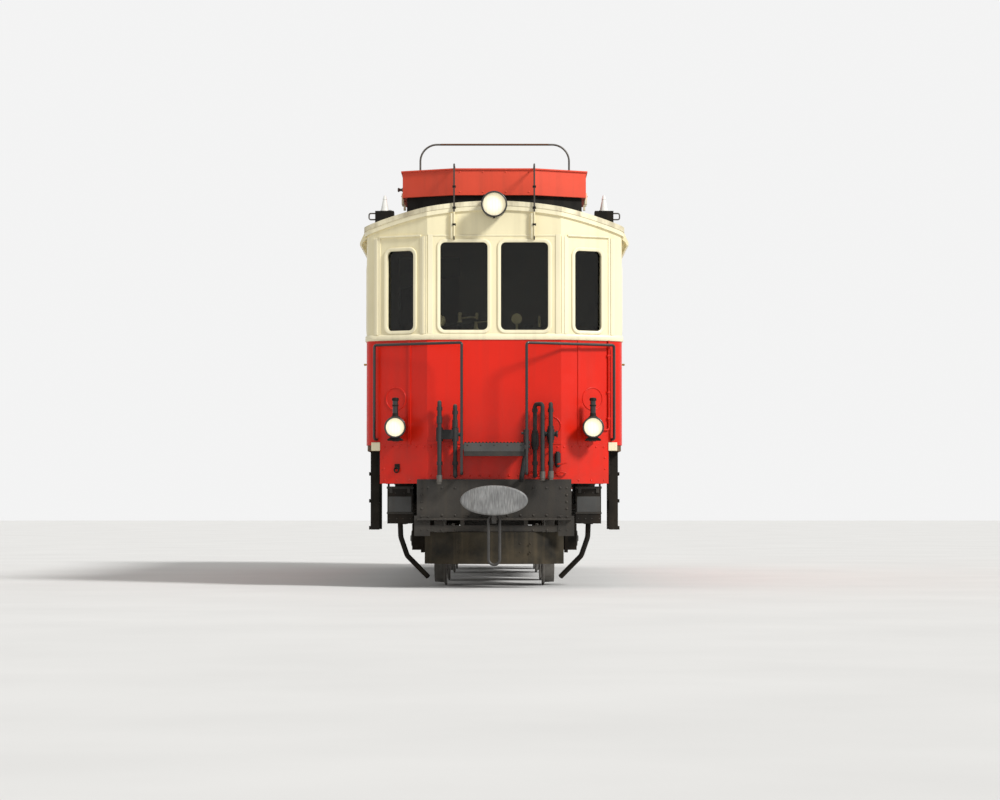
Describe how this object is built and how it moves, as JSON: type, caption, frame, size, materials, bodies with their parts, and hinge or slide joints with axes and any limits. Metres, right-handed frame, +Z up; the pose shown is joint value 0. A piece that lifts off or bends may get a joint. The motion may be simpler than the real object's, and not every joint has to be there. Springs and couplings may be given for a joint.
{
  "type": "narrow-gauge electric railcar",
  "caption": "Bow-ended metre-gauge electric railcar on motor bogies, with opening doors, folding pantograph and central buffers.",
  "frame": {"origin": "middle of the car's length and width, at the lowest points of the wheel flanges", "axes": "+Z up, Y along the car with the leading end at -Y, X across"},
  "size_m": [2.584, 10.8, 4.537],
  "materials": {
    "black_paint": "satin, dusty",
    "rail_black": "semi-gloss",
    "cab_black": "semi-gloss",
    "floor_wood": "worn boards",
    "livery_paint": "gloss, red below the belt and cream above",
    "red_paint": "gloss",
    "cream_paint": "gloss",
    "cab_paint": "painted boards",
    "roof_paint": "matt, sooty",
    "grey_paint": "worn satin",
    "motor_grey": "oily",
    "wheel_steel": "turned treads, dusty webs",
    "worn_steel": "worn, oily",
    "panto_paint": "satin",
    "porcelain": "glazed",
    "hose_rubber": "matt",
    "window_glass": "clear",
    "lens_glass": "clear, warm"
  },
  "bodies": {
    "carbody": {"solebars": "black_paint", "end_sills": "black_paint", "centre_sills": "black_paint", "cross_bearers": "black_paint", "bolsters": "black_paint", "floor": "floor_wood", "front_end_wall": "livery_paint", "rear_end_wall": "livery_paint", "side_wall_left": "livery_paint", "side_wall_right": "livery_paint", "cant_rails": "livery_paint", "end_glass": "window_glass", "side_glass": "window_glass", "roof": "roof_paint", "roof_cornice": "cream_paint", "aprons": "red_paint", "cab_partitions": "cab_paint", "cab_controls": "cab_black", "headstocks": "black_paint", "buffers": "worn_steel", "couplings": "worn_steel", "ploughs": "grey_paint", "end_steps": "grey_paint", "handrails": "rail_black", "lamps": "rail_black", "lamp_lenses": "lens_glass", "brake_pipes": "hose_rubber", "step_ladders": "black_paint", "sand_gear": "black_paint", "roof_plinths": "black_paint", "roof_housings": "red_paint", "insulators": "porcelain", "roof_rods": "rail_black", "ventilators": "roof_paint", "air_tanks": "black_paint", "equipment_boxes": "black_paint", "panto_base": "panto_paint"},
    "panto_lower_front": {"panto_lower_front": "panto_paint"},
    "panto_lower_rear": {"panto_lower_rear": "panto_paint"},
    "panto_upper_front": {"panto_upper_front": "panto_paint"},
    "panto_upper_rear": {"panto_upper_rear": "panto_paint"},
    "panto_head": {"panto_head": "panto_paint"},
    "luggage_door_left": {"luggage_door_left": "livery_paint"},
    "luggage_door_right": {"luggage_door_right": "livery_paint"},
    "cab_door_front_left": {"cab_door_front_left": "livery_paint"},
    "cab_door_front_right": {"cab_door_front_right": "livery_paint"},
    "bogie_front": {"bogie_frame_front": "black_paint", "axleboxes_front": "black_paint", "motors_front": "motor_grey"},
    "cab_door_rear_left": {"cab_door_rear_left": "livery_paint"},
    "cab_door_rear_right": {"cab_door_rear_right": "livery_paint"},
    "bogie_rear": {"bogie_frame_rear": "black_paint", "axleboxes_rear": "black_paint", "motors_rear": "motor_grey"},
    "wheelset_1": {"wheelset_1": "wheel_steel"},
    "wheelset_2": {"wheelset_2": "wheel_steel"},
    "wheelset_3": {"wheelset_3": "wheel_steel"},
    "wheelset_4": {"wheelset_4": "wheel_steel"}
  },
  "joints": [
    {"name": "bogie_front_swivel", "type": "hinge", "parent": "carbody", "child": "bogie_front", "pos_m": [0, -2.75, 0.9], "axis": [0, 0, 1], "range_deg": [-5, 5]},
    {"name": "bogie_rear_swivel", "type": "hinge", "parent": "carbody", "child": "bogie_rear", "pos_m": [0, 2.75, 0.9], "axis": [0, 0, 1], "range_deg": [-5, 5]},
    {"name": "axle_1", "type": "hinge", "parent": "bogie_front", "child": "wheelset_1", "pos_m": [0, -3.7, 0.458], "axis": [1, 0, 0], "continuous": true},
    {"name": "axle_2", "type": "hinge", "parent": "bogie_front", "child": "wheelset_2", "pos_m": [0, -1.8, 0.458], "axis": [1, 0, 0], "continuous": true},
    {"name": "axle_3", "type": "hinge", "parent": "bogie_rear", "child": "wheelset_3", "pos_m": [0, 1.8, 0.458], "axis": [1, 0, 0], "continuous": true},
    {"name": "axle_4", "type": "hinge", "parent": "bogie_rear", "child": "wheelset_4", "pos_m": [0, 3.7, 0.458], "axis": [1, 0, 0], "continuous": true},
    {"name": "cab_door_front_left_hinge", "type": "hinge", "parent": "carbody", "child": "cab_door_front_left", "pos_m": [-1.145, -3.745, 1.65], "axis": [0, 0, 1], "range_deg": [0, 85]},
    {"name": "cab_door_front_right_hinge", "type": "hinge", "parent": "carbody", "child": "cab_door_front_right", "pos_m": [1.145, -3.745, 1.65], "axis": [0, 0, -1], "range_deg": [0, 85]},
    {"name": "cab_door_rear_left_hinge", "type": "hinge", "parent": "carbody", "child": "cab_door_rear_left", "pos_m": [-1.145, 3.745, 1.65], "axis": [0, 0, -1], "range_deg": [0, 85]},
    {"name": "cab_door_rear_right_hinge", "type": "hinge", "parent": "carbody", "child": "cab_door_rear_right", "pos_m": [1.145, 3.745, 1.65], "axis": [0, 0, 1], "range_deg": [0, 85]},
    {"name": "luggage_door_left_slide", "type": "slide", "parent": "carbody", "child": "luggage_door_left", "axis": [0, 1, 0], "range_m": [0, 1.45]},
    {"name": "luggage_door_right_slide", "type": "slide", "parent": "carbody", "child": "luggage_door_right", "axis": [0, 1, 0], "range_m": [0, 1.45]},
    {"name": "panto_lower_front_lift", "type": "hinge", "parent": "carbody", "child": "panto_lower_front", "pos_m": [0, -2.37, 3.99], "axis": [-1, 0, 0], "range_deg": [0, 53]},
    {"name": "panto_upper_front_knee", "type": "hinge", "parent": "panto_lower_front", "child": "panto_upper_front", "pos_m": [0, -3.36255, 4.11187], "axis": [-1, 0, 0], "range_deg": [-106, 0]},
    {"name": "panto_head_level", "type": "hinge", "parent": "panto_upper_front", "child": "panto_head", "pos_m": [0, -2.37, 4.23374], "axis": [-1, 0, 0], "range_deg": [0, 53]},
    {"name": "panto_lower_rear_lift", "type": "hinge", "parent": "carbody", "child": "panto_lower_rear", "pos_m": [0, -2.13, 3.99], "axis": [-1, 0, 0], "range_deg": [-53, 0]},
    {"name": "panto_upper_rear_knee", "type": "hinge", "parent": "panto_lower_rear", "child": "panto_upper_rear", "pos_m": [0, -1.13745, 4.11187], "axis": [-1, 0, 0], "range_deg": [0, 106]}
  ],
  "couplings": [
    {"joint": "panto_upper_front_knee", "follows": "panto_lower_front_lift", "ratio": -2},
    {"joint": "panto_head_level", "follows": "panto_lower_front_lift", "ratio": 1},
    {"joint": "panto_lower_rear_lift", "follows": "panto_lower_front_lift", "ratio": -1},
    {"joint": "panto_upper_rear_knee", "follows": "panto_lower_front_lift", "ratio": 2}
  ]
}
